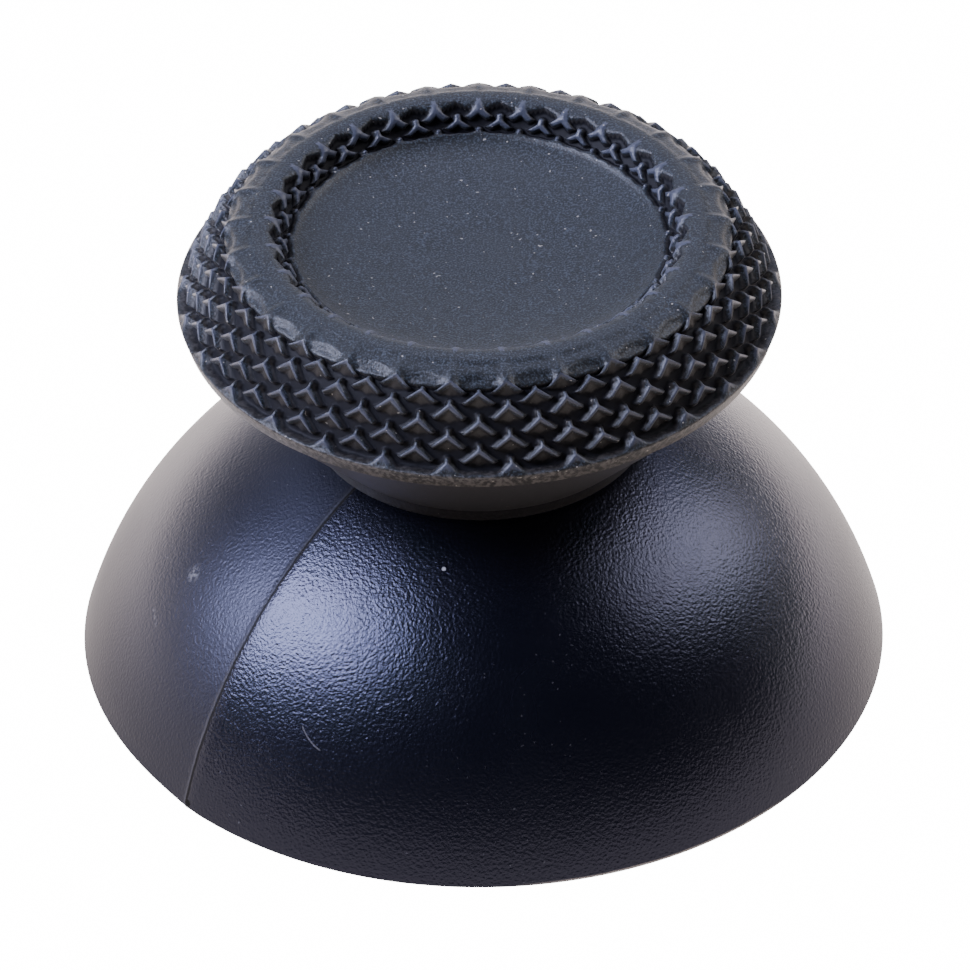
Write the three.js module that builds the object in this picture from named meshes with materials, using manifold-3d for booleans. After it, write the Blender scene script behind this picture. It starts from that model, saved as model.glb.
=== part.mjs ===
// Thumbstick cap of a game controller: a hard plastic dome, with a post on its inside
// that takes the stick's shaft, and a soft grip moulded over the head on top of it.
// Millimetres, +Z up, the origin in the middle of the rim that the cap stands on.
// Angles run round +Z from the front, -Y, towards +X.
import * as THREE from 'three';
import { mergeGeometries, mergeVertices } from 'three/addons/utils/BufferGeometryUtils.js';
import Module from 'manifold-3d';

// Dome
const rimRadius = 12.28;
const domeRise = 9.37; // height that the dome would have at its middle
const domeWall = 1.2;
const rimChamfer = 0.04;

// Post and its socket, a round hole with two flats for the stick's shaft
const postRadius = 3.5;
const postEndHeight = 0.8; // above the rim
const postChamfer = 0.25;
const postFillet = 0.7; // where the post meets the dome
const socketRadius = 2.05;
const socketAcrossFlats = 3.1;
const socketDepth = 6.8;
const socketLeadIn = 0.3;

// Grip, seen from the side
const gripRadius = 9.02; // at the line along the foot of the knurl
const gripLineHeight = 12.91;
const bandHeight = 0.46; // plain band under that line
const bandDraft = 0.12;
const skirtRadius = 5.15; // lower end of the underside
const skirtHeight = 0.35;
const crestRadius = 6.3;
const crestHeight = 15.5;
const dishRadius = 5.36;
const dishEdgeHeight = 14.7;
const dishDepth = 0.35;
const flankRise = 0.65; // how far up the flank its lower curve handle reaches
const flankLean = 0.3; // how far that handle leans in
const shoulderReach = 0.64; // how far out from the crest the shoulder is carried
const innerReach = 0.37; // the same on the inside of the crest
const innerRise = 0.31; // how high above the dish's edge the inner curve's lower handle lies
const innerLean = 0.42; // how far out from that edge it leans

// Knurl: three-armed stars in rows, each row half a pitch round from the next
const starsPerRow = 29;
const rowPitch = 0.42; // along the section
const firstRow = 0.35; // from the line at the foot to the first row
const lastRowMargin = 0.25; // left free beside the dish
const knurlDepth = 0.34;
const footDepth = 0.24; // where the arm of a star runs out at its neighbour
const armTipDepth = 0.1;
const armShare = 0.6; // of the way to the neighbour
const footShare = 0.72;
const landRadius = 6.85; // smooth land along the crest
const landHalfWidth = 0.2;
const landFade = 0.35;
const edgeFade = 0.3;

// Head of the plastic part, inside the grip
const neckRadius = 4.2;
const coreRadius = 7.3;
const coreTop = 13.3;
const coreChamfer = 0.3;
const gripWall = 0.9;
const gripClearance = 0.3;

// Facets
const turns = starsPerRow * 2;
const domeSteps = 11;
const shellSteps = 7;
const filletSteps = 3;
const dishSteps = 3;
const socketSides = 32;

const plastic = { color: 0x14161d, roughness: 0.38, metalness: 0 };
const rubber = { color: 0x23282e, roughness: 0.72, metalness: 0 };

const wasm = await Module();
wasm.setup();

const polar = (angle, radius) => [Math.cos(angle) * radius, Math.sin(angle) * radius];

// The dome is a cap of a ball: its radius follows from its rim and its rise.
const ballRadius = (rimRadius ** 2 + domeRise ** 2) / (2 * domeRise);
const ballHeight = domeRise - ballRadius;
const shellRadius = ballRadius - domeWall;
const domeHeightAt = (radius) => ballHeight + Math.sqrt(ballRadius ** 2 - radius ** 2);
const shellHeightAt = (radius) => ballHeight + Math.sqrt(shellRadius ** 2 - radius ** 2);

// Points on a ball round the axis, from one radius to another.
function ballArc(ball, fromRadius, toRadius, steps) {
  const from = Math.acos(fromRadius / ball);
  const to = Math.acos(toRadius / ball);
  return Array.from({ length: steps + 1 }, (_, i) => {
    const [r, z] = polar(from + ((to - from) * i) / steps, ball);
    return [r, z + ballHeight];
  });
}

function revolve(section) {
  const points = section.map(([r, z]) => new THREE.Vector2(Math.max(r, 0), z));
  const geometry = new THREE.LatheGeometry(points, turns);
  geometry.rotateX(Math.PI / 2);
  return geometry;
}

function bare(geometry) {
  const flat = geometry.index ? geometry.toNonIndexed() : geometry;
  flat.deleteAttribute('normal');
  flat.deleteAttribute('uv');
  return flat;
}

// One closed body from pieces of surface that share their edges.
function sew(pieces) {
  const skin = mergeVertices(mergeGeometries(pieces.map(bare)));
  const index = Array.from(skin.index.array);
  const kept = [];
  for (let i = 0; i < index.length; i += 3) {
    const [a, b, c] = index.slice(i, i + 3);
    if (a !== b && b !== c && c !== a) kept.push(a, b, c);
  }
  skin.setIndex(kept);
  return skin;
}

function solid(skin) {
  const vertProperties = new Float32Array(skin.attributes.position.array);
  const triVerts = new Uint32Array(skin.index.array);
  return new wasm.Manifold(new wasm.Mesh({ numProp: 3, vertProperties, triVerts }));
}

function meshOf(body) {
  const { vertProperties, triVerts } = body.getMesh();
  const geometry = new THREE.BufferGeometry();
  geometry.setAttribute('position', new THREE.BufferAttribute(vertProperties, 3));
  geometry.setIndex(new THREE.BufferAttribute(triVerts, 1));
  return geometry;
}

// Underside of the grip: a cone between the skirt and the plain band. The head of
// the plastic part and the hollow that holds it run parallel to it.
const skirtFoot = domeHeightAt(skirtRadius) + gripClearance;
const undersideStart = new THREE.Vector2(skirtRadius, skirtFoot + skirtHeight);
const undersideEnd = new THREE.Vector2(gripRadius - bandDraft, gripLineHeight - bandHeight);
const undersideSlope = undersideEnd.clone().sub(undersideStart).normalize();

function undersideHeightAt(radius, inset) {
  const start = undersideStart.clone();
  start.add(new THREE.Vector2(-undersideSlope.y, undersideSlope.x).multiplyScalar(inset));
  return start.y + ((radius - start.x) * undersideSlope.y) / undersideSlope.x;
}

const hollowNeck = neckRadius + gripClearance;
const hollowRadius = coreRadius + gripClearance;
const coreInset = gripWall + gripClearance;

// Body: dome, post and head in one moulding

function postSection() {
  const rootCentre = [postRadius + postFillet, 0];
  const rootBall = shellRadius - postFillet;
  rootCentre[1] = ballHeight + Math.sqrt(rootBall ** 2 - rootCentre[0] ** 2);
  const toShell = Math.atan2(rootCentre[1] - ballHeight, rootCentre[0]);
  const fillet = Array.from({ length: filletSteps + 1 }, (_, i) => {
    const [r, z] = polar(Math.PI + ((toShell - Math.PI) * i) / filletSteps, postFillet);
    return [rootCentre[0] + r, rootCentre[1] + z];
  });
  return [
    [0, postEndHeight],
    [postRadius - postChamfer, postEndHeight],
    [postRadius, postEndHeight + postChamfer],
    ...fillet,
  ];
}

function bodySection() {
  const post = postSection();
  const shellStart = post.at(-1)[0];
  const shellRim = Math.sqrt(shellRadius ** 2 - ballHeight ** 2);
  const shell = ballArc(shellRadius, shellStart, shellRim, shellSteps);
  const chamferTop = Math.sqrt(ballRadius ** 2 - (rimChamfer - ballHeight) ** 2);
  const dome = ballArc(ballRadius, chamferTop, neckRadius, domeSteps);
  return [
    ...post,
    ...shell.slice(1, -1),
    [shellRim, 0],
    [rimRadius - rimChamfer, 0],
    ...dome,
    [neckRadius, undersideHeightAt(neckRadius, coreInset)],
    [coreRadius, undersideHeightAt(coreRadius, coreInset)],
    [coreRadius, coreTop - coreChamfer],
    [coreRadius - coreChamfer, coreTop],
    [0, coreTop],
  ];
}

// Outline of the socket, widened by a margin: a circle with two flats.
function socketOutline(margin) {
  const radius = socketRadius + margin;
  const half = Math.min(socketAcrossFlats / 2 + margin, radius);
  const corner = Math.acos(half / radius);
  const steps = socketSides / 2;
  const side = (start) =>
    Array.from({ length: steps + 1 }, (_, i) => {
      const angle = start + corner + ((Math.PI - 2 * corner) * i) / steps;
      return new THREE.Vector2(...polar(angle, radius));
    });
  return [...side(0), ...side(Math.PI)];
}

function socketCut() {
  const below = 1; // the cut starts under the end of the post
  const hole = new THREE.ExtrudeGeometry(new THREE.Shape(socketOutline(0)), {
    depth: socketDepth + below,
    bevelEnabled: false,
  });
  hole.translate(0, 0, postEndHeight - below);
  const wide = socketOutline(socketLeadIn);
  const mouth = new THREE.ExtrudeGeometry(new THREE.Shape(wide), { depth: below, bevelEnabled: false });
  mouth.translate(0, 0, postEndHeight - below);
  const taper = loft(wide, socketOutline(0), postEndHeight, postEndHeight + socketLeadIn);
  return solid(sew([hole])).add(solid(sew([mouth]))).add(solid(taper));
}

// Closed solid between two outlines with as many points, one above the other.
function loft(lower, upper, lowerHeight, upperHeight) {
  const count = lower.length;
  const at = (outline, height, i) => [outline[i % count].x, outline[i % count].y, height];
  const floor = [0, 0, lowerHeight];
  const roof = [0, 0, upperHeight];
  const faces = [];
  for (let i = 0; i < count; i += 1) {
    const [a, b] = [at(lower, lowerHeight, i), at(lower, lowerHeight, i + 1)];
    const [c, d] = [at(upper, upperHeight, i), at(upper, upperHeight, i + 1)];
    faces.push(a, b, d, a, d, c, b, a, floor, c, d, roof);
  }
  const geometry = new THREE.BufferGeometry();
  geometry.setAttribute('position', new THREE.Float32BufferAttribute(faces.flat(), 3));
  return sew([geometry]);
}

function bodyGeometry() {
  return meshOf(solid(sew([revolve(bodySection())])).subtract(socketCut()));
}

// Grip: its knurled section runs from the line at its foot, over the crest, to the dish

const flankWidth = gripRadius - crestRadius;
const flankHeight = crestHeight - gripLineHeight;
const innerWidth = crestRadius - dishRadius;
const innerHeight = crestHeight - dishEdgeHeight;
const knurlSection = new THREE.CurvePath();
knurlSection.add(
  new THREE.CubicBezierCurve(
    new THREE.Vector2(gripRadius, gripLineHeight),
    new THREE.Vector2(gripRadius - flankLean * flankWidth, gripLineHeight + flankRise * flankHeight),
    new THREE.Vector2(crestRadius + shoulderReach * flankWidth, crestHeight),
    new THREE.Vector2(crestRadius, crestHeight),
  ),
);
knurlSection.add(
  new THREE.CubicBezierCurve(
    new THREE.Vector2(crestRadius, crestHeight),
    new THREE.Vector2(crestRadius - innerReach * innerWidth, crestHeight),
    new THREE.Vector2(dishRadius + innerLean * innerWidth, dishEdgeHeight + innerRise * innerHeight),
    new THREE.Vector2(dishRadius, dishEdgeHeight),
  ),
);
const sectionLength = knurlSection.getLength();

// Where the land along the crest has its middle, as a length along the section.
function landMiddle() {
  const steps = 200;
  const places = Array.from({ length: steps }, (_, i) => (i * sectionLength) / steps);
  return places.find((along) => knurlSection.getPoint(along / sectionLength).x < landRadius);
}
const landAlong = landMiddle() ?? sectionLength / 2;

// A place on the grip: how far round, how far along the section, how deep below it.
function gripPoint(column, along, depth) {
  const share = Math.min(Math.max(along / sectionLength, 0), 1);
  const place = knurlSection.getPoint(share);
  const run = knurlSection.getTangent(share);
  const radius = place.x - run.y * depth;
  const angle = (column * 2 * Math.PI) / starsPerRow;
  return [radius * Math.sin(angle), -radius * Math.cos(angle), place.y + run.x * depth];
}

// How much of the knurl's depth is left at a place: none on the land and at the edges.
function cutAt(along) {
  const fromLand = (Math.abs(along - landAlong) - landHalfWidth) / landFade;
  const fromEdge = Math.min(along, sectionLength - along) / edgeFade;
  return Math.min(Math.max(Math.min(fromLand, fromEdge), 0), 1);
}

const starRows = Math.floor((sectionLength - lastRowMargin - firstRow) / rowPitch) + 1;
const rowAlong = (row) => {
  if (row < 0) return 0;
  return row < starRows ? firstRow + row * rowPitch : sectionLength;
};
const star = (row, column) => ({ row, column, along: rowAlong(row) });

// The edge between two stars: the arm of the first runs down to its foot at the second.
function armEdge(from, to) {
  const place = (share, depth) => {
    const column = from.column + (to.column - from.column) * share;
    const along = from.along + (to.along - from.along) * share;
    return gripPoint(column, along, depth * cutAt(along));
  };
  return [place(armShare, armTipDepth), place(footShare, footDepth)];
}

// Stars outside the crest have one arm up and two down, stars inside it the reverse,
// so the single arm always points at the crest.
function edge(from, to) {
  const along = (from.along + to.along) / 2;
  if (from.along === to.along || cutAt(along) === 0) return [];
  const sameColumn = from.column === to.column;
  const rising = to.along > from.along;
  const outside = along < landAlong;
  const startsHere = sameColumn === outside ? rising : !rising;
  return startsHere ? armEdge(from, to) : armEdge(to, from).reverse();
}

function knurlFace(corners) {
  const outline = corners.flatMap((corner, i) => {
    const next = corners[(i + 1) % corners.length];
    return [gripPoint(corner.column, corner.along, 0), ...edge(corner, next)];
  });
  const along = corners.reduce((sum, corner) => sum + corner.along, 0) / corners.length;
  if (outline.length === corners.length) return outline;
  const column = corners.reduce((sum, corner) => sum + corner.column, 0) / corners.length;
  const pit = gripPoint(column, along, knurlDepth * cutAt(along));
  return outline.flatMap((point, i) => [pit, point, outline[(i + 1) % outline.length]]);
}

function knurlGeometry() {
  const faces = [];
  for (let row = -2; row < starRows; row += 1) {
    const shift = row % 2 === 0 ? 0.5 : 0;
    for (let i = 0; i < starsPerRow; i += 1) {
      const column = i + shift;
      const [foot, head] = [star(row, column), star(row + 2, column)];
      faces.push(...knurlFace([foot, star(row + 1, column + 0.5), head]));
      faces.push(...knurlFace([foot, head, star(row + 1, column - 0.5)]));
    }
  }
  const geometry = new THREE.BufferGeometry();
  geometry.setAttribute('position', new THREE.Float32BufferAttribute(faces.flat(), 3));
  return geometry;
}

function dishSection() {
  return Array.from({ length: dishSteps + 1 }, (_, i) => {
    const radius = dishRadius * (1 - i / dishSteps);
    return [radius, dishEdgeHeight - dishDepth * (1 - (radius / dishRadius) ** 2)];
  });
}

function gripLowerSection() {
  return [
    [0, coreTop],
    [hollowRadius, coreTop],
    [hollowRadius, undersideHeightAt(hollowRadius, gripWall)],
    [hollowNeck, undersideHeightAt(hollowNeck, gripWall)],
    [hollowNeck, domeHeightAt(hollowNeck) + gripClearance],
    [skirtRadius, skirtFoot],
    undersideStart.toArray(),
    undersideEnd.toArray(),
    [gripRadius, gripLineHeight],
  ];
}

function gripGeometry() {
  return sew([revolve(gripLowerSection()), knurlGeometry(), revolve(dishSection())]);
}

function piece(name, geometry, finish) {
  const mesh = new THREE.Mesh(geometry, new THREE.MeshStandardMaterial(finish));
  mesh.name = name;
  return mesh;
}

const group = new THREE.Group();
group.add(piece('body', bodyGeometry(), plastic));
group.add(piece('grip', gripGeometry(), rubber));

export default group;
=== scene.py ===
"""A worn thumbstick cap: a hard dome with a knurled rubber grip moulded over its neck.

Blender 4.5 add-on layout, run as a script. All lengths are in metres, and azimuth 0 is the front,
towards -Y, growing towards +X.
"""

import math

import bmesh
import bpy
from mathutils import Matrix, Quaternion, Vector


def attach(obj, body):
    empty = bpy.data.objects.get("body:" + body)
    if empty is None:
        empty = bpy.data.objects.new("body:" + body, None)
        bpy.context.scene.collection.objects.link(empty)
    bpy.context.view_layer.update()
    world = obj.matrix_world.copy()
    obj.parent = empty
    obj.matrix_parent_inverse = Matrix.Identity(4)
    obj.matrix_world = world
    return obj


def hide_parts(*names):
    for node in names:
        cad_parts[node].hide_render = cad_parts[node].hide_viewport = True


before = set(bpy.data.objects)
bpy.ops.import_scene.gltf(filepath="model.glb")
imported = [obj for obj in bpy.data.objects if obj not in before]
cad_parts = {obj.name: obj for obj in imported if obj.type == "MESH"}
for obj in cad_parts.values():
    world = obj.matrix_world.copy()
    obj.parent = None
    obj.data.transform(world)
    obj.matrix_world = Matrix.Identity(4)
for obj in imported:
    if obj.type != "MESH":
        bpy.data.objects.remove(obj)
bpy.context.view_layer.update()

bl_info = {
    "name": "Worn Thumbstick Cap",
    "version": (1, 0, 0),
    "blender": (4, 5, 0),
    "location": "View3D > Sidebar > Thumbstick",
    "description": "Models a worn thumbstick cap with a knurled rubber grip",
    "category": "Add Mesh",
}

MM = 0.001
BODY = "root"

# Sizes


def size(name, millimetres, description):
    """A length property that a user can change in the sidebar."""
    return bpy.props.FloatProperty(
        name=name,
        description=description,
        default=millimetres * MM,
        unit="LENGTH",
        precision=5,
    )


def colour(name, value, description):
    """A linear colour property that a user can change in the sidebar."""
    return bpy.props.FloatVectorProperty(
        name=name, description=description, default=value, subtype="COLOR", size=3
    )


class DomeSizes(bpy.types.PropertyGroup):
    ball_radius: size("Ball radius", 12.732, "Radius of the dome's outside")
    ball_height: size("Ball height", -3.362, "Height of the dome's centre")
    wall: size("Wall", 1.2, "Thickness of the dome's wall")
    rim_round: size("Rim round", 0.04, "Size of the rounded outer edge of the rim")
    neck_radius: size("Neck radius", 4.2, "Radius of the neck inside the grip")
    core_radius: size("Core radius", 7.3, "Radius of the core inside the grip")
    core_bottom: size("Core bottom", 12.0, "Height of the core's underside")
    core_top: size("Core top", 13.3, "Height of the core's top")
    post_radius: size("Post radius", 3.5, "Radius of the post inside the dome")
    post_end: size("Post end", 0.8, "Height of the post's free end")
    post_fillet: size("Post fillet", 0.7, "Radius of the fillet at the post's root")
    socket_radius: size("Socket radius", 2.05, "Radius of the socket in the post")
    socket_flat: size("Socket flat", 1.55, "Distance of the socket's flats from its axis")
    socket_depth: size("Socket depth", 6.8, "Depth of the socket")
    seam_height: size("Seam height", 0.012, "How far the parting line stands proud")
    seam_width: size("Seam width", 0.1, "Width of the parting line's slope")
    seam_step: size("Seam step", 0.02, "How much lower the left side of the parting line lies")
    seam_reach: size("Seam reach", 2.6, "How far the left side leans away from the line")
    seam_lean: bpy.props.FloatProperty(
        name="Seam lean", description="Slope of the left side at the parting line", default=0.11
    )
    plastic: colour("Plastic", (0.0018, 0.0021, 0.0042), "Colour of the hard plastic")


class GripSizes(bpy.types.PropertyGroup):
    edge_radius: size("Edge radius", 9.02, "Radius of the line under the knurl")
    edge_height: size("Edge height", 12.91, "Height of the line under the knurl")
    band_height: size("Band height", 0.46, "Height of the plain band")
    band_draft: size("Band draft", 0.12, "How far the plain band draws in")
    skirt_radius: size("Skirt radius", 5.15, "Radius of the skirt that meets the dome")
    skirt_height: size("Skirt height", 0.35, "Height of the skirt")
    crest_radius: size("Crest radius", 6.3, "Radius of the crest")
    crest_height: size("Crest height", 15.5, "Height of the crest")
    dish_radius: size("Dish radius", 5.36, "Radius of the dished disc")
    dish_height: size("Dish height", 14.7, "Height of the disc's edge")
    dish_depth: size("Dish depth", 0.33, "How far the disc's middle lies under its edge")
    dish_corner: size("Dish corner", 0.4, "Width of the hollow corner round the disc")
    knurl_depth: size("Knurl depth", 0.36, "Depth of the pits between the stars")
    inner_depth: size("Inner knurl depth", 0.26, "Depth of the pits inside the crest")
    rubber: colour("Rubber", (0.003, 0.004, 0.005), "Colour of the rubber")
    # The specks are partly real and partly a painted sparkle of tiny bluish glints.
    speck: colour("Specks", (0.05, 0.065, 0.085), "Colour of the fine specks in the rubber")


class StageSizes(bpy.types.PropertyGroup):
    distance: size("Distance", 300.0, "Distance of the camera")
    target_side: size("Target side", 0.116, "Sideways place that the camera looks at")
    target_height: size("Target height", 5.63, "Height that the camera looks at")
    lens: bpy.props.FloatProperty(
        name="Lens", description="Focal length in millimetres", default=367.3
    )
    elevation: bpy.props.FloatProperty(
        name="Elevation",
        description="Angle of the camera over the floor",
        default=math.radians(37.76),
        subtype="ANGLE",
    )
    roll: bpy.props.FloatProperty(
        name="Roll",
        description="Turn of the camera about its view",
        default=math.radians(-0.56),
        subtype="ANGLE",
    )


# Modelling helpers


def start():
    """Leaves edit mode and drops the selection, so that an operator acts on new work only."""
    if bpy.context.mode != "OBJECT":
        bpy.ops.object.mode_set(mode="OBJECT")
    bpy.ops.object.select_all(action="DESELECT")


def edit(piece):
    """Opens one piece in edit mode with nothing in it selected."""
    start()
    piece.select_set(True)
    bpy.context.view_layer.objects.active = piece
    bpy.ops.object.mode_set(mode="EDIT")
    bpy.ops.mesh.select_mode(type="VERT")
    bpy.ops.mesh.select_all(action="DESELECT")


def pick(piece, wanted):
    """Selects the points of the open piece whose place passes the test, and what they span."""
    mesh = bmesh.from_edit_mesh(piece.data)
    for point in mesh.verts:
        point.select = bool(wanted(point.co))
    mesh.select_flush_mode()
    bmesh.update_edit_mesh(piece.data)


def pick_border(piece, wanted):
    """Selects the open border of the piece, where its points pass the test."""
    mesh = bmesh.from_edit_mesh(piece.data)
    for edge in mesh.edges:
        edge.select = edge.is_boundary and all(wanted(point.co) for point in edge.verts)
    bmesh.update_edit_mesh(piece.data)


def cut(place, normal, below=False, above=False):
    """Cuts the open piece along a plane, and drops one side if asked."""
    bpy.ops.mesh.select_all(action="SELECT")
    bpy.ops.mesh.bisect(
        plane_co=place, plane_no=normal, clear_inner=below, clear_outer=above
    )
    bpy.ops.mesh.select_all(action="DESELECT")


def grow_ring(before, after):
    """Extrudes the selected ring from one radius and height to the next ones."""
    rise = after[1] - before[1]
    spread = after[0] / before[0]
    bpy.ops.mesh.extrude_region_move(TRANSFORM_OT_translate={"value": (0, 0, rise)})
    bpy.ops.transform.resize(value=(spread, spread, 1), center_override=(0, 0, 0))


def grow_rings(places):
    """Extrudes the selected ring through a list of radii and heights."""
    for before, after in zip(places, places[1:]):
        grow_ring(before, after)


def close_ring():
    """Caps the selected ring."""
    bpy.ops.mesh.edge_face_add()


def finish(piece, name, node, material, angle):
    """Names a modelled piece, turns its faces one way and hands it to the frame."""
    edit(piece)
    bpy.ops.mesh.select_all(action="SELECT")
    bpy.ops.mesh.normals_make_consistent(inside=False)
    start()
    piece.select_set(True)
    bpy.context.view_layer.objects.active = piece
    bpy.ops.object.shade_smooth_by_angle(angle=angle)
    piece.name = name
    piece.data.name = name
    piece.data.materials.clear()
    piece.data.materials.append(material)
    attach(piece, BODY)
    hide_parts(node)
    start()


# Shader helpers


class Shade:
    """A shader socket that sums, products and comparisons extend with Math nodes."""

    def __init__(self, maker, socket):
        self.maker = maker
        self.socket = socket

    def math(self, operation, *values):
        """Adds one Math node that works on the values."""
        return self.maker.node("ShaderNodeMath", dict(enumerate(values)), operation=operation)

    def __add__(self, other):
        return self.math("ADD", self, other)

    def __radd__(self, other):
        return self.math("ADD", other, self)

    def __sub__(self, other):
        return self.math("SUBTRACT", self, other)

    def __rsub__(self, other):
        return self.math("SUBTRACT", other, self)

    def __mul__(self, other):
        return self.math("MULTIPLY", self, other)

    def __rmul__(self, other):
        return self.math("MULTIPLY", other, self)

    def __truediv__(self, other):
        return self.math("DIVIDE", self, other)

    def __pow__(self, other):
        return self.math("POWER", self, other)

    def larger(self, other):
        """The larger of two numbers."""
        return self.math("MAXIMUM", self, other)

    def between(self, low, high):
        """0 below low, 1 above high, and smooth in between."""
        return self.maker.node(
            "ShaderNodeMapRange",
            {"Value": self, "From Min": low, "From Max": high},
            interpolation_type="SMOOTHSTEP",
        )


class Maker:
    """Builds the nodes of one material or world."""

    def __init__(self, owner):
        owner.use_nodes = True
        self.tree = owner.node_tree
        self.tree.nodes.clear()

    def node(self, kind, inputs=None, output=0, **settings):
        """Adds a node with its settings first, then its sockets, and gives one output."""
        made = self.tree.nodes.new(kind)
        for key, value in settings.items():
            setattr(made, key, value)
        for key, value in (inputs or {}).items():
            if isinstance(value, Shade):
                self.tree.links.new(value.socket, made.inputs[key])
            else:
                made.inputs[key].default_value = value
        return Shade(self, made.outputs[output])

    def place(self):
        """The point of the surface in the piece's own frame."""
        return self.node("ShaderNodeTexCoord", output="Object")

    def grain(self, size, detail=2.0, roughness=0.5):
        """A noise between 0 and 1 whose grains are about one size in metres."""
        return self.node(
            "ShaderNodeTexNoise",
            {
                "Vector": self.place(),
                "Scale": 1 / size,
                "Detail": detail,
                "Roughness": roughness,
            },
            output="Fac",
        )

    def mix(self, share, first, second):
        """Blends two colours."""
        return self.node(
            "ShaderNodeMix",
            {"Factor": share, 6: first, 7: second},
            output=2,
            data_type="RGBA",
        )

    def apart(self, vector):
        """The three parts of a vector."""
        split = self.node("ShaderNodeSeparateXYZ", {"Vector": vector})
        sockets = split.socket.node.outputs
        return [Shade(self, socket) for socket in sockets]

    def dot(self, vector, way):
        """The reach of a vector along a fixed way."""
        return self.node(
            "ShaderNodeVectorMath",
            {0: vector, 1: tuple(way)},
            output="Value",
            operation="DOT_PRODUCT",
        )

    def gap(self, vector, point):
        """How far a vector lies from a fixed point."""
        return self.node(
            "ShaderNodeVectorMath",
            {0: vector, 1: tuple(point)},
            output="Value",
            operation="DISTANCE",
        )

    def size_of(self, value):
        """A number without its sign."""
        return value.math("ABSOLUTE", value)

    def stroke(self, vector, start, end, bow, half):
        """A thin curved mark on the dome from one point to another."""
        middle = (start + end) / 2
        way = (end - start).normalized()
        aside = way.cross(middle).normalized()
        reach = (end - start).length / 2
        along = (self.dot(vector, way) - middle.dot(way)) / reach
        across = self.dot(vector, aside) - middle.dot(aside) - bow * (1 - along**2.0)
        thin = 1 - self.size_of(across).between(half * 0.5, half)
        return thin * (1 - self.size_of(along).between(0.85, 1.0))

    def bump(self, height, distance):
        """A normal turned by a height."""
        return self.node(
            "ShaderNodeBump", {"Height": height, "Distance": distance, "Strength": 1.0}
        )

    def surface(self, shader, output="ShaderNodeOutputMaterial"):
        """Hands a shader to the output of the material or world."""
        end = self.tree.nodes.new(output)
        self.tree.links.new(shader.socket, end.inputs["Surface"])


def opaque(value):
    """A colour with full alpha."""
    return (*value[:3], 1.0)


# Materials

SCUFF = Vector((-8.75, -3.55, 5.18)) * MM
SPECK = Vector((-1.13, -6.5, 7.53)) * MM
HAIR_START = Vector((-5.39, -9.1, 3.73)) * MM
HAIR_END = Vector((-4.83, -9.75, 3.25)) * MM
STREAK_START = Vector((-10.02, -3.41, 3.71)) * MM
STREAK_END = Vector((-9.92, -4.07, 3.5)) * MM
NICK = Vector((-8.9, -8.4, 0.18)) * MM
FLASH = Vector((-8.98, -8.38, 0.08)) * MM
SEAM_AZIMUTH = math.radians(-47)
SEAM_ALONG = Vector((math.sin(SEAM_AZIMUTH), -math.cos(SEAM_AZIMUTH), 0))
SEAM_ACROSS = Vector((math.cos(SEAM_AZIMUTH), math.sin(SEAM_AZIMUTH), 0))

# Heights of the fine reliefs in metres
PLASTIC_BUMP = 0.000018
LEFT_SMOOTHING = 0.000005
RUBBER_BUMP = 0.000016

# Colours of wear and dirt on the plastic, and of the painted floor reflection on the rim, the
# painted highlight on the parting line and the painted shadow in its groove
DUST = (0.2, 0.2, 0.22, 1.0)
RIM_FLOOR_REFLECTION = (0.42, 0.37, 0.31, 1.0)
PALE_MARK = (0.4, 0.4, 0.42, 1.0)
SEAM_HIGHLIGHT = (0.05, 0.05, 0.055, 1.0)
GROOVE_SHADOW = (0.004, 0.0035, 0.0035, 1.0)

# Colours of wear and dirt on the rubber, and of its painted light: a glint on the worn rib tops,
# warm floor light on the facets, shade in the pits and under the grip, and sparkle in the specks
BLOOM = (0.02, 0.023, 0.025, 1.0)
FACET_FLOOR_LIGHT = (0.02, 0.018, 0.018, 1.0)
WORN_TOP_AND_GLINT = (0.075, 0.082, 0.115, 1.0)
BAND_GROUND = (0.006, 0.0055, 0.005, 1.0)
BAND_GRIT = (0.085, 0.078, 0.074, 1.0)
UNDERSIDE_SHADE = (0.006, 0.0045, 0.0045, 1.0)
PALE_DUST = (0.5, 0.47, 0.42, 1.0)
PIT_SHADE = (0.009, 0.009, 0.012, 1.0)


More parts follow.
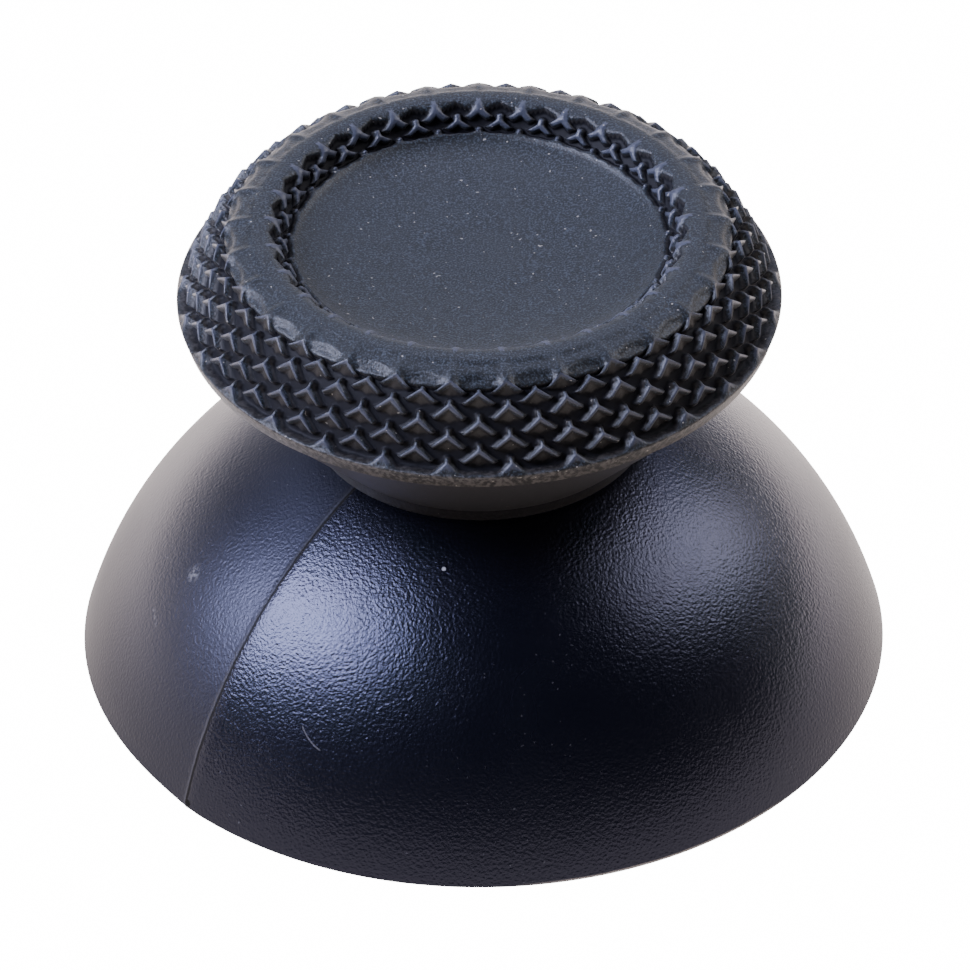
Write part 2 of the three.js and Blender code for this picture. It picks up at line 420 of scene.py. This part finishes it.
def plastic_material(sizes):
    """Satin blue-black plastic with a fine grain, duller left of the parting line, and marks, with
    a painted floor reflection on the rim's edge, a painted highlight on the parting line and
    painted shadow in its groove and a nick.
    """
    material = bpy.data.materials.new("dome_plastic")
    maker = Maker(material)
    place = maker.place()
    side, depth, up = maker.apart(place)
    across = maker.dot(place, SEAM_ACROSS)
    along = maker.dot(place, SEAM_ALONG)
    left = (0 - across).between(0, 0.00012) * along.between(0, 0.002)
    fine = maker.grain(0.000095, detail=1.5)
    coarse = maker.grain(0.0006, detail=2.0)
    normal = maker.bump(fine + coarse * 0.2, PLASTIC_BUMP - left * LEFT_SMOOTHING)
    dust = maker.grain(0.00009, detail=0.0).between(0.80, 0.84)
    patch = maker.grain(0.003, detail=2.0).between(0.4, 0.7)
    tint = maker.mix(dust * patch * 0.3, opaque(sizes.plastic), DUST)
    # Painted floor reflection: a pale cream band along the rim's lower edge at the right front; the
    # noise in worn only makes its upper edge uneven.
    worn = maker.grain(0.0007, detail=3.0)
    front = (0 - depth).between(0.0075, 0.0095)
    right = side.between(0.0006, 0.003) * (1 - side.between(0.0085, 0.0105))
    edge = front * right * (1 - (up + worn * 0.00004).between(0.00008, 0.00013))
    tint = maker.mix(edge * 0.9, tint, RIM_FLOOR_REFLECTION)
    blotch = maker.grain(0.00012, detail=2.0).between(0.42, 0.6)
    scuff = (1 - maker.gap(place, SCUFF).between(0.00008, 0.0004)) * blotch * 0.35
    speck = 1 - maker.gap(place, SPECK).between(0.00004, 0.00008)
    flash = 1 - maker.gap(place, FLASH).between(0.00005, 0.00009)
    hair = maker.stroke(place, HAIR_START, HAIR_END, 0.00008, 0.000025) * 0.25
    streak = maker.stroke(place, STREAK_START, STREAK_END, 0.0, 0.00008) * blotch * 0.12
    for mark in (scuff, speck, flash, hair, streak):
        tint = maker.mix(mark, tint, PALE_MARK)
    shaky = across + (maker.grain(0.0004) - 0.5) * 0.00006
    # Painted highlight: a thin pale line on the lip of the parting line along its lower part.
    lower = along.between(0.0045, 0.0065)
    ridge = 1 - maker.size_of(shaky + 0.0001).between(0.00002, 0.00005)
    tint = maker.mix(ridge * lower * 0.5, tint, SEAM_HIGHLIGHT)
    shader = maker.node(
        "ShaderNodeBsdfPrincipled",
        {
            "Base Color": tint,
            "Roughness": 0.25 + patch * 0.03 + left * 0.08,
            "Normal": normal,
            "IOR": 1.6,
            "Specular Tint": (0.66, 0.69, 1.0, 1.0),
        },
    )
    # Painted shadow: the groove beside the parting line and a nick at the rim blend towards a dark,
    # dull shader.
    groove = (1 - maker.size_of(shaky).between(0.00003, 0.00007)) * along.between(0.0035, 0.0045)
    nick = 1 - maker.gap(place, NICK).between(0.00009, 0.00014)
    shadow = maker.node(
        "ShaderNodeBsdfPrincipled",
        {
            "Base Color": GROOVE_SHADOW,
            "Roughness": 0.6,
            "Specular IOR Level": 0.15,
        },
    )
    crack_shadow = (groove * 0.9).larger(nick)
    maker.surface(maker.node("ShaderNodeMixShader", {0: crack_shadow, 1: shader, 2: shadow}))
    return material


def rubber_material(sizes):
    """Dull black rubber: pale specks partly painted as sparkle, worn rib tops with a painted glint,
    painted warm floor light on the facets, painted shade in the pits and under the grip, and a
    gritty brown band.
    """
    material = bpy.data.materials.new("grip_rubber")
    maker = Maker(material)
    skin = maker.grain(0.00007, detail=2.0, roughness=0.6)
    cloud = maker.grain(0.0016, detail=3.0)
    normal = maker.bump(skin, RUBBER_BUMP)
    worn_glint_to_pit_shade = maker.node("ShaderNodeAttribute", output="Fac", attribute_name="finish")
    worn = (0 - worn_glint_to_pit_shade).between(0.2, 1.0)
    # Fine bluish specks in the rubber, partly a painted sparkle of tiny glints.
    specks_and_sparkle = maker.grain(0.00006, detail=1.0).between(0.42, 0.75)
    rare = maker.grain(0.00011, detail=0.0).between(0.82, 0.86)
    up = maker.apart(maker.place())[2]
    foot = sizes.edge_height
    bottom = foot - sizes.band_height
    band = 1 - up.between(foot - 0.05 * MM, foot + 0.05 * MM)
    tint = maker.mix(specks_and_sparkle, opaque(sizes.rubber), opaque(sizes.speck))
    tint = maker.mix(cloud.between(0.3, 0.7) * 0.3, tint, BLOOM)
    # Painted floor light: the facets under the stars and the rib flanks take a warm brown for the
    # floor's warm light on them.
    tint = maker.mix(worn_glint_to_pit_shade.between(0.0, 0.35), tint, FACET_FLOOR_LIGHT)
    # Worn rib tops: lighter and smoother from wear, with a painted bluish glint on top of that.
    tint = maker.mix(worn * 0.8, tint, WORN_TOP_AND_GLINT)
    # Painted shade under the grip: below the band the rubber turns a dark brown and partly takes
    # the dark shader.
    under = 1 - up.between(bottom - 0.13 * MM, bottom - 0.03 * MM)
    grit = maker.grain(0.00012, detail=2.0).between(0.4, 0.62)
    dusty = maker.mix(grit, BAND_GROUND, BAND_GRIT)
    tint = maker.mix(band, tint, dusty)
    tint = maker.mix(under * (1 - grit * 0.2), tint, UNDERSIDE_SHADE)
    tint = maker.mix(rare * 0.7, tint, PALE_DUST)
    shader = maker.node(
        "ShaderNodeBsdfPrincipled",
        {
            "Base Color": tint,
            "Roughness": 0.43 - worn * 0.08,
            "Normal": normal,
            "IOR": 1.5,
            "Sheen Weight": 0.09,
            "Sheen Roughness": 0.4,
        },
    )
    # A dark, dull shader for the painted shade.
    hollow = maker.node(
        "ShaderNodeBsdfPrincipled",
        {
            "Base Color": PIT_SHADE,
            "Roughness": 0.6,
            "Specular IOR Level": 0.2,
        },
    )
    # Painted shade: where the finish is deep, and partly under the grip, the rubber blends towards
    # the dark, dull shader.
    dark = worn_glint_to_pit_shade.between(0.45, 1.0).larger(under * 0.6)
    maker.surface(maker.node("ShaderNodeMixShader", {0: dark, 1: shader, 2: hollow}))
    return material


# Dome

# A border's points are picked this close to its cut. The parting line moves some of them further,
# so the dome's mesh is open in a slit under the line and in a part of the neck.
CUT_MARGIN = 1e-6


class CAP_OT_dome(bpy.types.Operator):
    """Models the hard dome with its post, socket, neck and core."""

    bl_idname = "cap.dome"
    bl_label = "Dome"

    def execute(self, context):
        sizes = context.scene.cap_dome
        ball, centre = sizes.ball_radius, sizes.ball_height
        start()
        bpy.ops.mesh.primitive_uv_sphere_add(
            segments=192, ring_count=144, radius=ball, location=(0, 0, centre)
        )
        dome = context.object
        bpy.ops.object.transform_apply(location=True, rotation=False, scale=False)
        edit(dome)
        edge = sizes.rim_round
        skirt = context.scene.cap_grip.skirt_radius
        neck_height = centre + math.sqrt(ball**2 - skirt**2)
        cut((0, 0, edge), (0, 0, 1), below=True)
        cut((0, 0, neck_height), (0, 0, 1), above=True)
        self.raise_seam(dome, sizes)
        pick_border(dome, lambda co: co.z > neck_height - CUT_MARGIN)
        self.close_neck(sizes, skirt, neck_height)
        bpy.ops.mesh.select_all(action="DESELECT")
        pick_border(dome, lambda co: co.z < edge + CUT_MARGIN)
        self.close_inside(dome, sizes)
        start()
        finish(dome, "hard_dome", "body", plastic_material(sizes), 0.6)
        return {"FINISHED"}

    def raise_seam(self, dome, sizes):
        """Steps the dome down left of the parting line, with a lip on it and a groove beside it."""
        centre = Vector((0, 0, sizes.ball_height))
        width, lip, step = sizes.seam_width, sizes.seam_height, sizes.seam_step
        for place in (0.6, 0.3, 0.15, 0.0, -0.15, -0.3, -0.6, -1.0, -2.0):
            cut(SEAM_ACROSS * place * width, SEAM_ACROSS)
        edit(dome)
        mesh = bmesh.from_edit_mesh(dome.data)
        for point in mesh.verts:
            reach = point.co - centre
            ahead = step_up(point.co.dot(SEAM_ALONG), 0, 3 * MM)
            left = -point.co.dot(SEAM_ACROSS)
            rise = lip * (bell(left, 0, 0.25 * width) - 3 * bell(left, 0.15 * width, 0.1 * width))
            rise -= step * step_up(left, 0, width)
            if left > 0:
                rise -= sizes.seam_lean * left * math.exp(-left / sizes.seam_reach)
            before = point.co.z
            point.co = centre + reach * (1 + rise * ahead / sizes.ball_radius)
            point.co.z = max(point.co.z, min(before, sizes.rim_round))
        bmesh.update_edit_mesh(dome.data)

    def close_neck(self, sizes, skirt, height):
        """Carries the dome's top ring up into the neck and the core, and caps it."""
        grow_rings(
            [
                (skirt, height),
                (sizes.neck_radius, height),
                (sizes.neck_radius, sizes.core_bottom),
                (sizes.core_radius, sizes.core_bottom),
                (sizes.core_radius, sizes.core_top),
            ]
        )
        close_ring()

    def close_inside(self, dome, sizes):
        """Carries the rim inwards over the inner ball, down the post and into the socket."""
        ball, centre = sizes.ball_radius, sizes.ball_height
        inner = ball - sizes.wall
        edge = sizes.rim_round
        rim = math.sqrt(ball**2 - (edge - centre) ** 2)
        first = math.asin(-centre / inner)
        root = sizes.post_radius + sizes.post_fillet
        last = math.acos(root / inner)
        steps = 24
        places = [(rim, edge), (rim - edge * 0.3, edge * 0.25), (rim - edge * 0.8, 0)]
        for step in range(steps + 1):
            angle = first + (last - first) * step / steps
            places.append((inner * math.cos(angle), centre + inner * math.sin(angle)))
        top = places[-1][1]
        fillet = sizes.post_fillet
        for step in range(1, 6):
            turn = math.radians(90 * step / 5)
            places.append(
                (root - fillet * math.sin(turn), top - fillet * (1 - math.cos(turn)))
            )
        end = sizes.post_end
        places += [
            (sizes.post_radius, end + fillet * 0.35),
            (sizes.post_radius - fillet * 0.35, end),
            (sizes.socket_radius + fillet * 0.4, end),
            (sizes.socket_radius, end + fillet * 0.4),
            (sizes.socket_radius, end + sizes.socket_depth),
        ]
        grow_rings(places)
        close_ring()
        bpy.ops.mesh.select_all(action="DESELECT")
        reach = sizes.socket_radius * 1.001
        for side in (-1, 1):
            flat = side * sizes.socket_flat
            pick(
                dome,
                lambda co: co.xy.length < reach
                and co.z < end + sizes.socket_depth + CUT_MARGIN
                and co.x * side > sizes.socket_flat,
            )
            bpy.ops.transform.resize(value=(0, 1, 1), center_override=(flat, 0, 0))
            bpy.ops.mesh.select_all(action="DESELECT")


# Grip


class Section:
    """The grip's section from the line under the knurl over the crest to the disc."""

    def __init__(self, sizes):
        flank = (
            sizes.edge_radius - sizes.crest_radius,
            sizes.crest_height - sizes.edge_height,
        )
        inner = (
            sizes.crest_radius - sizes.dish_radius,
            sizes.crest_height - sizes.dish_height,
        )
        outside = [
            (sizes.edge_radius, sizes.edge_height),
            (sizes.edge_radius - 0.3 * flank[0], sizes.edge_height + 0.65 * flank[1]),
            (sizes.crest_radius + 0.64 * flank[0], sizes.crest_height),
            (sizes.crest_radius, sizes.crest_height),
        ]
        inside = [
            (sizes.crest_radius, sizes.crest_height),
            (sizes.crest_radius - 0.37 * inner[0], sizes.crest_height),
            (sizes.dish_radius + 0.416 * inner[0], sizes.dish_height + 0.31 * inner[1]),
            (sizes.dish_radius, sizes.dish_height),
        ]
        steps = 200
        self.places = [Vector(outside[0])]
        for handles in (outside, inside):
            for step in range(1, steps + 1):
                self.places.append(self.bezier(handles, step / steps))
        self.lengths = [0.0]
        for before, after in zip(self.places, self.places[1:]):
            self.lengths.append(self.lengths[-1] + (after - before).length)
        self.length = self.lengths[-1]

    @staticmethod
    def bezier(handles, share):
        weights = (
            (1 - share) ** 3,
            3 * (1 - share) ** 2 * share,
            3 * (1 - share) * share**2,
            share**3,
        )
        place = Vector((0, 0))
        for weight, handle in zip(weights, handles):
            place += weight * Vector(handle)
        return place

    def at(self, length):
        """The radius and height at a length along the section, and its outward normal."""
        low, high = 0, len(self.lengths) - 1
        while high - low > 1:
            middle = (low + high) // 2
            if self.lengths[middle] > length:
                high = middle
            else:
                low = middle
        span = self.lengths[high] - self.lengths[low]
        share = (length - self.lengths[low]) / span
        place = self.places[low].lerp(self.places[high], share)
        before = self.places[max(low - 2, 0)]
        after = self.places[min(high + 2, len(self.places) - 1)]
        along = (after - before).normalized()
        return place, Vector((along.y, -along.x))


STARS = 29
CUTS = 15
FIRST_ROW = -6 / CUTS
TOP_ROW = 6
MIDDLE_ROW = TOP_ROW + 1
LAST_ROW = TOP_ROW + 5
LOWER_ARM = 0.5
UPPER_ARM = 0.36
LAND_FOOT = 0.43
LAND_DEPTH = 0.17
HUB_REACH = 0.46
NUB_WIDTH = 0.24
NUB_HEIGHT = 0.6
DISH_SLOPE = 0.4


def bell(value, middle, width):
    """A smooth bump of height 1."""
    return math.exp(-(((value - middle) / width) ** 2))


def step_up(value, low, high):
    """0 below low, 1 above high, and smooth in between."""
    share = min(max((value - low) / (high - low), 0), 1)
    return share * share * (3 - 2 * share)


def worn_glint_to_pit_shade(share):
    """The finish of a rib: -1 where its top is worn and takes a painted glint, 1 where its flank is
    deep and takes painted shade.
    """
    return step_up(share, 0.3, 0.7) - 1 + step_up(share, 0.1, 0.4)


def row_length(row):
    """Millimetres along the section, from the line under the knurl to a row of stars."""
    first, pitch, top = 0.16, 0.42, 2.65
    inner = (4.51, 4.87, 5.1, 5.35)
    if row < TOP_ROW:
        return first + pitch * row + 0.1 * bell(row, 4.4, 1.0)
    past = row - TOP_ROW - 2
    if past < 0:
        return inner[0] + (inner[0] - top) * past / 2
    step = min(int(past), 2)
    return inner[step] + (inner[step + 1] - inner[step]) * (past - step)


class StarPlace:
    """Where a place lies in the diamond of a star, its lower neighbours and the star below."""

    def __init__(self, column, row):
        tiny = 1e-6
        right = (column - row - 1) / 2
        left = (-column - row - 1) / 2
        self.right = right - math.floor(right + tiny)
        self.left = left - math.floor(left + tiny)
        self.down = (self.right + self.left) / 2
        self.aside = abs(self.right - self.left)
        self.star_row = round(row + 2 * self.down)

    def hub_share(self):
        """1 on a star's hub, falling to 0 between the stars."""
        near = 0.0
        if self.star_row <= TOP_ROW:
            near = 1 - max(self.right, self.left)
        if self.star_row <= TOP_ROW + 1:
            near = max(near, self.aside)
        if self.star_row <= TOP_ROW + 2:
            near = max(near, min(self.right, self.left))
        return min(max((near - HUB_REACH) / (1 - HUB_REACH), 0), 1)

    def rib(self, across, along, reach, flank=0.12, fall=0.25, thick=0.0):
        """The depth share of a rib: its top, its steep flanks and its end."""
        across = max(across * CUTS - thick, 0)
        side = flank * across if across < 1 else flank + (1 - flank) * (across - 1)
        end = max((along - reach) * CUTS / 2, 0)
        return side + end + fall * min(along / reach, 1)

    def outside(self, length):
        """The depth of a place outside the crest, and its finish, from a worn top with a painted
        glint at -1 to painted pit shade at 1.

        The length along the section is in millimetres.
        """
        ribs = []
        if self.star_row <= TOP_ROW:
            ribs.append(self.rib(self.left, self.right, LOWER_ARM))
            ribs.append(self.rib(self.right, self.left, LOWER_ARM))
            facet = self.down / LAND_FOOT + self.aside * (2 - 0.5 / LAND_FOOT)
            floor = 0.2 + 0.75 * facet + max(facet - 1, 0) / 0.15
            # 0.4 gives the facets the painted warm floor light; at their foot they turn to painted
            # pit shade.
            shade = 0.4 + 0.6 * step_up(facet, 0.75, 1.2)
        else:
            start = 0.25 + 0.14 * (self.aside / 0.75) ** 2
            hollow = step_up(self.down, start, start + 0.07) * (1 - step_up(self.aside, 0.5, 0.9))
            ridge = bell(self.aside, 0, 0.2) * (1 - step_up(1 - self.down, 0.2, 0.7))
            if self.star_row == TOP_ROW + 1:
                ridge = bell(1 - self.aside, 0, 0.2)
                floor = LAND_DEPTH + 0.3 * hollow + step_up(self.down, 0.5, 0.62)
            else:
                floor = LAND_DEPTH * (1 - step_up(length, 3.3, 4.0))
            if floor < 0.5:
                floor -= LAND_DEPTH * ridge
            shade = step_up(floor, 0.5, 0.9)
        if self.star_row <= TOP_ROW + 1:
            ribs.append(self.rib(1 - self.left, self.right, LOWER_ARM))
            ribs.append(self.rib(1 - self.right, self.left, LOWER_ARM))
            ribs.append(self.rib(self.aside, 1 - self.down, UPPER_ARM, 0.25, 0.3, 0.3))
        share = min(*ribs, floor, 1.0)
        return share, worn_glint_to_pit_shade(share) if share < floor else shade

    def inside(self, length):
        """The same for a place inside the crest, at a length in millimetres."""
        star, thick = self.star_row, 1.3
        floors = [1.0, 1 - step_up(length, 5.08, 5.2)]
        depths = []
        if star > TOP_ROW:
            start = 0.3 + 0.2 * self.aside
            roof = step_up(self.down, start, start + 0.09) if star == TOP_ROW + 1 else 0
            floors.append(roof + 0.2 * step_up(length, 3.9, 4.3))
        if TOP_ROW - 1 <= star <= TOP_ROW:
            depths.append(self.rib(self.left, self.right, LOWER_ARM, thick=thick))
            depths.append(self.rib(self.right, self.left, LOWER_ARM, thick=thick))
        if TOP_ROW <= star <= TOP_ROW + 1:
            depths.append(self.rib(1 - self.left, self.right, LOWER_ARM, thick=thick))
            depths.append(self.rib(1 - self.right, self.left, LOWER_ARM, thick=thick))
        if TOP_ROW + 1 <= star <= TOP_ROW + 2:
            depths.append(self.rib(self.aside, 1 - self.down, 0.38, 0.2, 0.1, thick))
        depths.append(self.nub(TOP_ROW - 2))
        floor, share = min(floors), min(depths)
        if share < floor:
            return share, worn_glint_to_pit_shade(share)
        return floor, step_up(floor, 0.3, 0.7)

    def nub(self, row):
        """The depth share of the round nubs that stand where one row's stars would be."""
        columns, rows = {
            row: (self.aside, 2 * self.down),
            row + 1: (1 - self.aside, 2 * self.down - 1),
            row + 2: (self.aside, 2 - 2 * self.down),
        }.get(self.star_row, (1, 1))
        return (columns / NUB_WIDTH) ** 2 + (rows / NUB_HEIGHT) ** 2


class CAP_OT_grip(bpy.types.Operator):
    """Models the rubber grip: a flat star lattice wrapped round, then the disc and the skirt."""

    bl_idname = "cap.grip"
    bl_label = "Grip"

    def execute(self, context):
        sizes = context.scene.cap_grip
        section = Section(sizes)
        grip = self.flat_lattice(context)
        self.wrap(grip, sizes, section)
        edit(grip)
        bpy.ops.mesh.select_all(action="SELECT")
        bpy.ops.mesh.remove_doubles(threshold=2e-7)
        bpy.ops.mesh.select_all(action="DESELECT")
        self.close_disc(grip, sizes)
        self.close_skirt(grip, sizes, context.scene.cap_dome)
        start()
        finish(grip, "knurled_grip", "grip", rubber_material(sizes), math.pi)
        return {"FINISHED"}

    def flat_lattice(self, context):
        """A flat sheet of triangles: one unit a half column wide and one row high."""
        start()
        pairs = 7
        bpy.ops.mesh.primitive_grid_add(
            x_subdivisions=2 * STARS, y_subdivisions=pairs, size=2, location=(0, 0, 0)
        )
        sheet = context.object
        edit(sheet)
        bpy.ops.mesh.select_all(action="SELECT")
        bpy.ops.transform.resize(value=(STARS, pairs, 1), center_override=(0, 0, 0))
        bpy.ops.transform.translate(value=(0, pairs - 2, 0))
        pick(sheet, lambda co: round(co.x) % 2 == 0)
        bpy.ops.transform.translate(value=(0, 1, 0))
        bpy.ops.mesh.select_all(action="SELECT")
        bpy.ops.mesh.quads_convert_to_tris(quad_method="SHORTEST_DIAGONAL")
        bpy.ops.mesh.subdivide(number_cuts=CUTS - 1, smoothness=0)
        cut((0, FIRST_ROW, 0), (0, 1, 0), below=True)
        cut((0, LAST_ROW, 0), (0, 1, 0), above=True)
        start()
        return sheet

    def wrap(self, sheet, sizes, section):
        """Presses the pits into the sheet and wraps it round the section."""
        turn = math.radians(-0.3)
        # The finish attribute holds -1 on worn rib tops with their painted glint and 1 where
        # painted pit shade goes.
        finish_and_pit_shade = sheet.data.attributes.new("finish", "FLOAT", "POINT")
        inner_lift, outer_lift = 0.08 * MM, 0.17 * MM
        for index, point in enumerate(sheet.data.vertices):
            column, row = point.co.x, point.co.y
            inside = row > MIDDLE_ROW
            spot = StarPlace(column, 2 * MIDDLE_ROW - row if inside else row)
            length = min(row_length(row) * MM, section.length)
            edge = step_up(length, 0, 0.15 * MM) * (
                1 - step_up(length, section.length - 0.15 * MM, section.length)
            )
            if inside:
                share, finish_and_shade_here = spot.inside(length / MM)
                nudged = length - inner_lift * spot.hub_share() * edge
                deep = sizes.inner_depth
            else:
                share, finish_and_shade_here = spot.outside(length / MM)
                nudged = length + outer_lift * spot.hub_share() * edge
                deep = sizes.knurl_depth
            place, normal = section.at(min(max(nudged, 0), section.length))
            place = place - normal * deep * share * edge
            finish_and_pit_shade.data[index].value = finish_and_shade_here * edge
            azimuth = math.radians(180 * column / STARS) + turn
            point.co = (
                place.x * math.sin(azimuth),
                -place.x * math.cos(azimuth),
                place.y,
            )

    def close_disc(self, grip, sizes):
        """Closes the top with a shallow dish."""
        radius, height = sizes.dish_radius, sizes.dish_height
        pick_border(grip, lambda co: co.xy.length < radius + 0.1 * MM)
        places = [(radius, height)]
        for share in (0.985, 0.965, 0.94, 0.91, 0.88, 0.84, 0.79, 0.72, 0.62, 0.5, 0.36, 0.2, 0.06):
            corner = 1 - math.exp(-radius * (1 - share) / sizes.dish_corner)
            fall = sizes.dish_depth * (1 - share**2) + sizes.dish_corner * DISH_SLOPE * corner
            places.append((radius * share, height - fall))
        grow_rings(places)
        close_ring()
        bpy.ops.mesh.select_all(action="DESELECT")

    def close_skirt(self, grip, sizes, dome):
        """Carries the lower border down the band, the underside and the skirt, and up inside."""
        radius, height = sizes.edge_radius, sizes.edge_height
        pick_border(grip, lambda co: co.xy.length > radius - 0.1 * MM)
        low = radius - sizes.band_draft
        bottom = height - sizes.band_height
        neck = dome.ball_height + math.sqrt(dome.ball_radius**2 - sizes.skirt_radius**2)
        gap = 0.05 * MM
        grow_rings(
            [
                (radius, height),
                (radius + 0.02 * MM, height - 0.03 * MM),
                (radius, height - 0.08 * MM),
                (low, bottom),
                (low - 0.12 * MM, bottom - 0.06 * MM),
                (sizes.skirt_radius + 0.1 * MM, neck + sizes.skirt_height + 0.08 * MM),
                (sizes.skirt_radius, neck + sizes.skirt_height),
                (sizes.skirt_radius, neck + gap * 0.2),
                (dome.neck_radius + gap, neck + gap * 0.2),
                (dome.neck_radius + gap, dome.core_bottom - gap),
                (dome.core_radius + gap, dome.core_bottom - gap),
                (dome.core_radius + gap, dome.core_top + gap),
            ]
        )
        close_ring()
        bpy.ops.mesh.select_all(action="DESELECT")


# Stage


class CAP_OT_stage(bpy.types.Operator):
    """Sets the floor, the soft light and the camera."""

    bl_idname = "cap.stage"
    bl_label = "Stage"

    def execute(self, context):
        sizes = context.scene.cap_stage
        self.lay_floor(context)
        self.light_world(context)
        self.set_camera(context, sizes)
        return {"FINISHED"}

    def lay_floor(self, context):
        """A wide pale floor that looks white from above and gives a softer light back."""
        start()
        bpy.ops.mesh.primitive_grid_add(
            x_subdivisions=4, y_subdivisions=4, size=4, location=(0, 0, 0)
        )
        floor = context.object
        floor.name = "floor"
        material = bpy.data.materials.new("floor_white")
        maker = Maker(material)
        seen = maker.node("ShaderNodeLightPath", output="Is Camera Ray")
        white = maker.node(
            "ShaderNodeEmission", {"Color": (1, 1, 1, 1), "Strength": 16.0}
        )
        side, depth = maker.apart(maker.place())[:2]
        strength = 1.1 + depth.between(-0.01, 0.03) * 2.0
        strength = strength * (1.3 - side.between(-0.03, -0.008) * 0.25)
        glow = maker.node(
            "ShaderNodeEmission",
            {"Color": (1.0, 0.88, 0.84, 1), "Strength": strength},
        )
        maker.surface(maker.node("ShaderNodeMixShader", {0: seen, 1: glow, 2: white}))
        floor.data.materials.append(material)

    def light_world(self, context):
        """Three wide soft lights, a pale horizon behind and a dark room in front."""
        world = bpy.data.worlds.new("studio")
        context.scene.world = world
        maker = Maker(world)
        way = maker.node("ShaderNodeTexCoord", output="Generated")
        side, depth, up = maker.apart(way)

        def lamp(azimuth, elevation, width, tall, strength, roll=0):
            """A soft oval light seen at an azimuth and elevation in degrees."""
            turn, lift = math.radians(azimuth), math.radians(elevation)
            flat = math.cos(lift)
            toward = Vector((math.sin(turn) * flat, -math.cos(turn) * flat, math.sin(lift)))
            right = Vector((math.cos(turn), math.sin(turn), 0))
            right.rotate(Quaternion(toward, math.radians(roll)))
            over = right.cross(toward)
            parts = []
            for axis, half in ((right, width), (over, tall)):
                parts.append((maker.dot(way, axis) / math.sin(math.radians(half))) ** 2.0)
            ahead = maker.dot(way, toward).between(0.0, 0.2)
            far = parts[0] + parts[1]
            return (1 - far.between(0.15, 1.0)) * ahead * strength

        left = lamp(-80, 40, 34, 15, 17.0, 40)
        right = lamp(106, 36, 33, 13, 5.2, -42)
        above = lamp(180, 55, 55, 24, 1.8)
        back = depth.between(0.0, 0.95)
        low = 1 - up.between(0.1, 0.45)
        horizon = low * (0.12 + back * 1.4) * (1 - maker.size_of(side).between(0.3, 0.9) * 0.6)
        haze = (1 - up.between(0.8, 1.0)) * 0.04
        blue = maker.node(
            "ShaderNodeBackground",
            {"Color": (0.95, 1.0, 1.35, 1), "Strength": left + above + haze},
        )
        warm = maker.node(
            "ShaderNodeBackground", {"Color": (1.0, 0.97, 1.03, 1), "Strength": horizon + right}
        )
        both = maker.node("ShaderNodeAddShader", {0: blue, 1: warm})
        maker.surface(both, "ShaderNodeOutputWorld")

    def set_camera(self, context, sizes):
        """Places the camera at the angle of the photograph."""
        back = Vector((0, -math.cos(sizes.elevation), math.sin(sizes.elevation)))
        target = Vector((sizes.target_side, 0, sizes.target_height))
        data = bpy.data.cameras.new("camera")
        camera = bpy.data.objects.new("camera", data)
        context.scene.collection.objects.link(camera)
        camera.location = target + back * sizes.distance
        camera.rotation_mode = "QUATERNION"
        turn = Quaternion((0, 0, 1), sizes.roll)
        camera.rotation_quaternion = (-back).to_track_quat("-Z", "Y") @ turn
        data.lens = sizes.lens
        data.sensor_width = 36.0
        data.clip_start = 0.01
        data.clip_end = 10.0
        context.scene.camera = camera


# Panel and registration


class CAP_PT_panel(bpy.types.Panel):
    """Lists the steps and the sizes of the cap."""

    bl_idname = "CAP_PT_panel"
    bl_label = "Thumbstick Cap"
    bl_space_type = "VIEW_3D"
    bl_region_type = "UI"
    bl_category = "Thumbstick"

    def draw(self, context):
        for step in STEPS:
            self.layout.operator(step.bl_idname)
        for group in (context.scene.cap_dome, context.scene.cap_grip, context.scene.cap_stage):
            box = self.layout.box()
            for name in group.bl_rna.properties.keys():
                if name not in ("rna_type", "name"):
                    box.prop(group, name)


GROUPS = {"cap_dome": DomeSizes, "cap_grip": GripSizes, "cap_stage": StageSizes}
STEPS = (CAP_OT_dome, CAP_OT_grip, CAP_OT_stage)
CLASSES = (*GROUPS.values(), *STEPS, CAP_PT_panel)


def register():
    for item in CLASSES:
        bpy.utils.register_class(item)
    for name, group in GROUPS.items():
        setattr(bpy.types.Scene, name, bpy.props.PointerProperty(type=group))


def unregister():
    for name in GROUPS:
        delattr(bpy.types.Scene, name)
    for item in reversed(CLASSES):
        bpy.utils.unregister_class(item)


def main():
    """Makes the cap and its stage."""
    register()
    bpy.ops.cap.dome()
    bpy.ops.cap.grip()
    bpy.ops.cap.stage()


if __name__ == "__main__":
    main()
